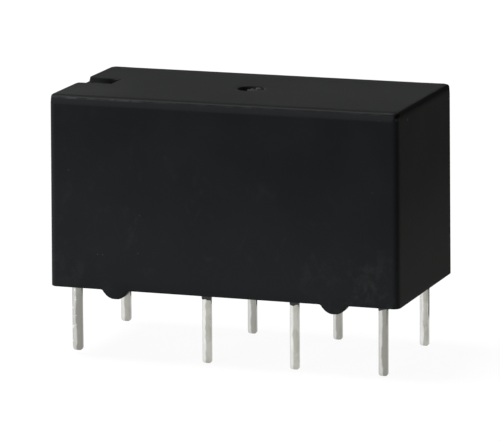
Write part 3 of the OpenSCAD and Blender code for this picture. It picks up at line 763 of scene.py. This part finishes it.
        # From the outer walls under the rim, up the inner walls and over the cavity
        around = [(x, -side) for x in xs[:-1]] + [(end, y) for y in ys[:-1]]
        around += [(x, side) for x in xs[:0:-1]] + [(-end, y) for y in ys[:0:-1]]
        lower_edge = [standoff_edge(x + self.middle) if abs(y) == side else RIM_Z for x, y in around]
        loops = [[self.corner(x, y, zs[0]) for x, y in around]]
        for inset, rise in (
            (0, RIM_EASE), (RIM_EASE * 0.3, RIM_EASE * 0.3), (RIM_EASE, 0),
            (WALL - RIM_EASE, 0), (WALL - RIM_EASE * 0.3, RIM_EASE * 0.3), (WALL, RIM_EASE),
        ):
            loops.append([
                self.shape.verts.new(self.rim_point(x, y, inset, rise + z))
                for (x, y), z in zip(around, lower_edge)
            ])
        for z in (RIM_Z + 0.6, CAVITY_Z):
            loops.append([self.shape.verts.new(self.rim_point(x, y, WALL, z)) for x, y in around])
        skin(self.shape, loops, closed=True)
        self.shape.faces.new(loops[-1])
        bmesh.ops.dissolve_degenerate(self.shape, dist=1e-3, edges=self.shape.edges)
        mesh = to_mesh(self.shape, "cover")
        smooth(mesh, angle=60)
        return add_piece("cover_moulding", mesh, "cover")


Cover().build()


# The sealing resin


PIN_NODES = [
    f"{kind}_terminal_{side}" for kind in ("coil", "common", "closed", "open") for side in ("front", "back")
]
# How far the resin reaches out from each kind of pin, and how far it creeps down it
COLLARS = {"coil": (0.2, 0.1), "common": (0.34, 0.74), "closed": (0.34, 0.66), "open": (0.34, 0.62)}
# Rings of a collar as shares of that reach, down to one just inside the tin
COLLAR_RINGS = (1.0, 0.8, 0.62, 0.46, 0.32, 0.2, 0.11, 0.05, 0.02, -0.02)
# Distances from the cover's walls at which the resin's grid has lines
WALL_LINES = (0.02, 0.05, 0.1, 0.17, 0.25)


def pin_box(node):
    """Middle and size of a terminal's pin on the board plane, measured on the lower end of its solid."""
    tip = [v.co / MM for v in NODES[node].data.vertices if v.co.z < 0]
    xs, ys = [v.x for v in tip], [v.y for v in tip]
    return ((min(xs) + max(xs)) / 2, (min(ys) + max(ys)) / 2), (max(xs) - min(xs), max(ys) - min(ys))


def pin_section(width, thick):
    """Outline of a dipped pin: a rectangle whose edges the tin has rounded and whose faces it has crowned."""
    squareness, crown, sides = 9, 0.14, 40
    outline = []
    for i in range(sides):
        c, s = math.cos(2 * math.pi * i / sides), math.sin(2 * math.pi * i / sides)
        r = (abs(c) ** squareness + abs(s) ** squareness) ** (-1 / squareness)
        outline.append((c * r * width / 2, s * r * thick / 2 * (1 - crown * (c * r) ** 2)))
    return outline


def meniscus(distance, radius, rise):
    """How far resin has been drawn along a wall at a distance from it."""
    return rise * (1 - math.sqrt(1 - (1 - clamped(distance / radius)) ** 2))


def add_collar(shape, node):
    """Resin that has crept down a pin: a ring with a hollow flare above and an uneven lower edge."""
    (cx, cy), (width, thick) = pin_box(node)
    reach, creep = COLLARS[node.split("_")[0]]
    section = pin_section(width + 2 * TIN, thick + 2 * TIN)
    rings = []
    for out in COLLAR_RINGS:
        ring = []
        for x, y in section:
            away = Vector((x / width, y / thick, 0)).normalized() * (out * reach)
            ragged = 1 + 0.25 * noise.noise(Vector((cx + x * 5, cy + y * 5, 2.0)))
            drop = meniscus(max(out, 0.02) * reach, reach, creep * ragged)
            ring.append(shape.verts.new((cx + x + away.x, cy + y + away.y, RESIN_Z + 0.02 - drop)))
        rings.append(ring)
    rings.append([shape.verts.new((v.co.x, v.co.y, RESIN_Z + 0.1)) for v in rings[-1]])
    skin(shape, rings + rings[:1], closed=True)


def build_resin():
    """The pour between the cover's walls: a wavy face that climbs at the walls, and a collar on each pin."""
    gap = 0.004
    x0, x1 = COVER_X[0] + WALL + gap, COVER_X[1] - WALL - gap
    half = COVER_HALF - WALL - gap
    xs = steps(x0, x1, 50) + [x0 + line for line in WALL_LINES] + [x1 - line for line in WALL_LINES]
    ys = steps(-half, half, 26) + [line - half for line in WALL_LINES] + [half - line for line in WALL_LINES]
    xs = merged([x for x in xs if x0 <= x <= x1], 0.02)
    ys = merged([y for y in ys if -half <= y <= half], 0.02)
    shape = bmesh.new()

    def surface(x, y):
        from_wall = min(x - x0, x1 - x, y + half, half - y)
        wave = 0.02 * noise.noise(Vector((x * 0.5, y * 0.5, 0)))
        return RESIN_Z - meniscus(from_wall, radius=0.28, rise=0.09) + wave

    face = [[shape.verts.new((x, y, surface(x, y))) for x in xs] for y in ys]
    skin(shape, face)
    border = face[0][:-1] + [row[-1] for row in face[:-1]] + face[-1][:0:-1] + [row[0] for row in face[:0:-1]]
    lid = [shape.verts.new((v.co.x, v.co.y, BASE_Z)) for v in border]
    skin(shape, [border, lid], closed=True)
    shape.faces.new(lid)
    for node in PIN_NODES:
        add_collar(shape, node)
    mesh = to_mesh(shape, "seal_resin")
    smooth(mesh, angle=60)
    return add_piece("resin_pour", mesh, "seal_resin")


build_resin()


# The pins, and the terminals above them


# Top of a drawn pin, hidden in the base, and the height in the resin from which its lines are even
PIN_TOP_Z = BASE_Z + 0.1
SHAFT_LINES_Z = 0.9
# How far the tin of a pin has dulled, where it has
DULL = {
    "coil_terminal_front": 1.0, "coil_terminal_back": 0.4, "common_terminal_back": 0.6,
    "closed_terminal_back": 0.6, "open_terminal_front": 0.88,
}


def upper_part(node):
    """A terminal's solid above its pin, closed below, with its sharp edges eased."""
    shape = node_bmesh(node)
    geometry = shape.verts[:] + shape.edges[:] + shape.faces[:]
    bmesh.ops.bisect_plane(
        shape, geom=geometry, plane_co=(0, 0, PIN_TOP_Z), plane_no=(0, 0, -1), clear_outer=True)
    bmesh.ops.holes_fill(shape, edges=[e for e in shape.edges if e.is_boundary])
    bmesh.ops.dissolve_limit(shape, angle_limit=math.radians(1), verts=shape.verts, edges=shape.edges)
    sharp = [
        e for e in shape.edges
        if len(e.link_faces) == 2 and e.calc_face_angle(0) > math.radians(40)
        and max(v.co.z for v in e.verts) > PIN_TOP_Z + 1e-3
    ]
    bmesh.ops.bevel(
        shape, geom=sharp, offset=0.03, segments=2, profile=0.5, affect="EDGES", clamp_overlap=True)
    return shape


def pin_levels(node, thick):
    """Heights down a pin to its rounded tip, each with the pin's width and thickness there as shares."""
    foot = span(node, 2)[0]
    tip_length, narrowing = (0.55, 0.62) if node.startswith("coil") else (0.45, 0.5)
    tip = tip_length * thick
    shaft = [PIN_TOP_Z] + steps(SHAFT_LINES_Z, foot + tip, 30)
    levels = [(z, 1.0, 1.0) for z in shaft]
    for i in range(1, 7):
        a = math.radians(90 * i / 6)
        shrink = 1 - (1 - math.cos(a)) * narrowing
        levels.append((foot + tip - tip * math.sin(a), shrink, shrink * 0.9 + 0.1 * math.cos(a)))
    return levels


def build_terminal(node):
    """A terminal: its solid with eased edges above the resin, and a pin drawn down from there."""
    (cx, cy), (width, thick) = pin_box(node)
    width, thick = width + 2 * TIN, thick + 2 * TIN
    shape = upper_part(node)
    across, dull = (shape.verts.layers.float.new(name) for name in ("across", "dull"))
    section = pin_section(width, thick)
    phase = random.Random(node).uniform(0, 20)
    rings = []
    for z, share_x, share_y in pin_levels(node, thick):
        wobble = 1 - 0.015 * (0.5 + 0.5 * noise.noise(Vector((phase, cx, z * 1.3))))
        ring = []
        for x, y in section:
            vertex = shape.verts.new((cx + x * share_x * wobble, cy + y * share_y * wobble, z))
            vertex[across] = 0.5 + x / width
            vertex[dull] = DULL.get(node, 0.0)
            ring.append(vertex)
        rings.append(ring)
    skin(shape, rings, closed=True)
    shape.faces.new(rings[0])
    shape.faces.new(rings[-1])
    mesh = to_mesh(shape, node)
    smooth(mesh, angle=50)
    return add_piece(node + "_finish", mesh, node)


for terminal in PIN_NODES:
    build_terminal(terminal)


# The coil and what moves


def build_winding():
    """The winding's outside as a helix of fine turns that round off at both flanges."""
    low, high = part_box("winding")
    centre = (low + high) / 2 / MM
    z0, z1 = low.z / MM, high.z / MM
    outer = (high.x - low.x) / 2 / MM
    sides, lines_per_turn, shoulder_radius, wire_depth = 96, 4, 0.25, 0.03
    turns = round((z1 - z0) / WIRE_PITCH)
    pitch = (z1 - z0) / turns
    shape = bmesh.new()
    columns = []
    for s in range(sides):
        a = 2 * math.pi * s / sides
        ring = [(WINDING_BORE, z1), (WINDING_BORE, z0)]
        for k in range(turns * lines_per_turn + 1):
            z = z0 + pitch * k / lines_per_turn
            end = min(z - z0, z1 - z) / shoulder_radius
            shoulder = shoulder_radius * (1 - math.sqrt(max(0.0, 1 - (1 - min(end, 1.0)) ** 2)))
            ridge = abs(math.sin(math.pi * (k / lines_per_turn - s / sides)))
            ring.append((outer - shoulder - wire_depth * (1 - ridge), z))
        columns.append([
            shape.verts.new((centre.x + r * math.cos(a), centre.y + r * math.sin(a), z)) for r, z in ring
        ])
    for s in range(sides):
        here, there = columns[s], columns[(s + 1) % sides]
        for k in range(len(here)):
            m = (k + 1) % len(here)
            shape.faces.new((here[k], there[k], there[m], here[m]))
    mesh = to_mesh(shape, "winding")
    smooth(mesh, angle=70)
    return add_piece("winding_turns", mesh, "winding")


build_winding()

# Radius of the eased edges of each plain piece, and of each piece that has a front and a back one
EASED = {
    "base": 0.06, "bobbin": 0.06, "core": 0.04, "yoke": 0.07, "armature": 0.07, "hinge_spring": 0.02,
    "card": 0.06,
}
EASED_PAIRS = {"moving_spring": 0.02, "moving_contact": 0.03, "closed_contact": 0.03, "open_contact": 0.03}

for node, radius in EASED.items():
    eased(node, radius)
for side in ("front", "back"):
    for node, radius in EASED_PAIRS.items():
        eased(f"{node}_{side}", radius)
    lead = eased(f"coil_lead_{side}", 0.01, angle=80)
    round_wire = lead.modifiers.new("round_wire", "SUBSURF")
    round_wire.levels = round_wire.render_levels = 1


# Floor, light and camera


RELAY_MIDDLE = (0, 0, 4)
AMBIENT = 0.08
FLOOR_GREY = (0.2, 0.2, 0.2, 1)
FLOOR_WHITE = 0.93
WHITE = (1, 1, 1, 1)
CARD_BLACK = (0.01, 0.01, 0.01, 1)

# The photograph's viewpoint: place in millimetres, turn in degrees, and focal length in the photo's pixels
CAMERA_PLACE = (83.556, -240.743, 55.848)
CAMERA_AZIMUTH, CAMERA_ELEVATION, CAMERA_ROLL = 19.154, 11.537, -0.367
FOCAL_LENGTH = 4693.8
PHOTO_WIDTH = 500
SENSOR_WIDTH = 36


def seen_share(tree, share):
    """Light Path factor: share for camera, glossy and transmission rays, and 0 for the rest."""
    rays = tree.nodes.new("ShaderNodeLightPath")
    total = rays.outputs["Is Camera Ray"]
    for kind in ("Is Glossy Ray", "Is Transmission Ray"):
        joined = tree.nodes.new("ShaderNodeMath")
        joined.operation = "MAXIMUM"
        tree.links.new(total, joined.inputs[0])
        tree.links.new(rays.outputs[kind], joined.inputs[1])
        total = joined.outputs[0]
    scaled = tree.nodes.new("ShaderNodeMath")
    scaled.operation = "MULTIPLY"
    tree.links.new(total, scaled.inputs[0])
    scaled.inputs[1].default_value = share
    return scaled.outputs[0]


def white_when_seen(tree, kind, share, unseen, output):
    """Gives output a white shader of a kind for share of what looks at it, and unseen for all else."""
    white = tree.nodes.new("ShaderNode" + kind)
    white.inputs["Color"].default_value = WHITE
    white.inputs["Strength"].default_value = 1.0
    choose = tree.nodes.new("ShaderNodeMixShader")
    tree.links.new(seen_share(tree, share), choose.inputs[0])
    tree.links.new(unseen.outputs[0], choose.inputs[1])
    tree.links.new(white.outputs[0], choose.inputs[2])
    tree.links.new(choose.outputs[0], tree.nodes[output].inputs["Surface"])


def studio_sheet(name, segments, size):
    """A flat square that the studio stands on or hangs up, and the node tree of its material."""
    shape = bmesh.new()
    bmesh.ops.create_grid(shape, x_segments=segments, y_segments=segments, size=size)
    mesh = bpy.data.meshes.new(name)
    shape.to_mesh(mesh)
    shape.free()
    material = bpy.data.materials.new(name)
    material.use_nodes = True
    mesh.materials.append(material)
    sheet = bpy.data.objects.new(name, mesh)
    bpy.context.scene.collection.objects.link(sheet)
    return sheet, material.node_tree


def build_floor():
    """Table under the pins: white to the eye with a faint shadow, and grey in the light it gives back."""
    floor, tree = studio_sheet("floor", segments=8, size=0.6)
    floor.location = (0, 0, PIN_FOOT_Z * MM)
    matt = tree.nodes["Principled BSDF"]
    tone = tree.nodes.new("ShaderNodeMix")
    tone.data_type = "RGBA"
    tone.inputs[COLOUR_A].default_value = FLOOR_GREY
    tone.inputs[COLOUR_B].default_value = WHITE
    tree.links.new(seen_share(tree, 1.0), tone.inputs["Factor"])
    tree.links.new(tone.outputs[COLOUR_RESULT], matt.inputs["Base Color"])
    matt.inputs["Roughness"].default_value = 0.9
    matt.inputs["Specular IOR Level"].default_value = 0.0
    white_when_seen(tree, "Emission", FLOOR_WHITE, matt, "Material Output")


def build_world():
    """Soft ambient light; the camera, glossy and clear surfaces see a white room."""
    world = bpy.data.worlds.new("studio")
    bpy.context.scene.world = world
    world.use_nodes = True
    tree = world.node_tree
    ambient = tree.nodes["Background"]
    ambient.inputs["Color"].default_value = (0.96, 0.98, 1.0, 1)
    ambient.inputs["Strength"].default_value = AMBIENT
    white_when_seen(tree, "Background", 1.0, ambient, "World Output")


def softbox(name, at, width, height, power, colour=(1, 1, 1), glints=True):
    """Rectangular area light at a point in millimetres, facing the relay; without glints it only fills."""
    light = bpy.data.lights.new(name, "AREA")
    light.shape = "RECTANGLE"
    light.size = width * MM
    light.size_y = height * MM
    light.energy = power
    light.color = colour
    lamp = bpy.data.objects.new(name, light)
    lamp.location = Vector(at) * MM
    lamp.rotation_euler = (Vector(RELAY_MIDDLE) - Vector(at)).to_track_quat("-Z", "Y").to_euler()
    lamp.visible_glossy = glints
    bpy.context.scene.collection.objects.link(lamp)


def black_card(name, at, width, height, towards=RELAY_MIDDLE):
    """Black card in the studio that only the reflections see."""
    piece, tree = studio_sheet(name, segments=1, size=0.5)
    piece.location = Vector(at) * MM
    piece.rotation_euler = (Vector(towards) - Vector(at)).to_track_quat("Z", "Y").to_euler()
    piece.scale = (width * MM, height * MM, 1)
    piece.visible_camera = piece.visible_diffuse = piece.visible_shadow = piece.visible_transmission = False
    glow = tree.nodes.new("ShaderNodeEmission")
    glow.inputs["Color"].default_value = CARD_BLACK
    tree.links.new(glow.outputs[0], tree.nodes["Material Output"].inputs["Surface"])


def build_camera():
    """The photograph's viewpoint: a long lens, a little above and to the right of the front."""
    azimuth, elevation, roll = (math.radians(a) for a in (CAMERA_AZIMUTH, CAMERA_ELEVATION, CAMERA_ROLL))
    level = math.cos(elevation)
    right = Vector((math.cos(azimuth), math.sin(azimuth), 0))
    back = Vector((math.sin(azimuth) * level, -math.cos(azimuth) * level, math.sin(elevation)))
    up = back.cross(right)
    tilted_right = right * math.cos(roll) + up * math.sin(roll)
    tilted_up = up * math.cos(roll) - right * math.sin(roll)
    camera = bpy.data.cameras.new("camera")
    camera.sensor_width = SENSOR_WIDTH
    camera.lens = FOCAL_LENGTH / PHOTO_WIDTH * SENSOR_WIDTH
    camera.clip_start = 0.01
    camera.clip_end = 10
    eye = bpy.data.objects.new("camera", camera)
    turn = Matrix((tilted_right, tilted_up, back)).transposed()
    eye.matrix_world = Matrix.Translation(Vector(CAMERA_PLACE) * MM) @ turn.to_4x4()
    bpy.context.scene.collection.objects.link(eye)
    bpy.context.scene.camera = eye


build_floor()
build_world()
softbox("key_front_left", at=(-200, -376, 64), width=240, height=110, power=1.9, colour=(0.93, 1.0, 1.07))
softbox("overhead", at=(-107, -11, 312), width=160, height=160, power=1.3)
softbox(
    "back_fill", at=(-120, 390, 90), width=240, height=160, power=1.25, colour=(0.97, 1.0, 1.03),
    glints=False)
softbox("right_back", at=(280, 235, 90), width=200, height=160, power=0.64, colour=(1.03, 1.0, 0.93))
black_card("card_back_right", at=(60, 330, 60), width=330, height=160)
black_card("card_back_high", at=(-120, 250, 230), width=420, height=160)
black_card("card_floor_right", at=(141, 120, -3.3), width=240, height=360, towards=(141, 120, 1))
black_card("card_floor_back", at=(-8, 155, -3.3), width=44, height=290, towards=(-8, 155, 1))
build_camera()
bpy.context.scene.view_settings.view_transform = "Standard"
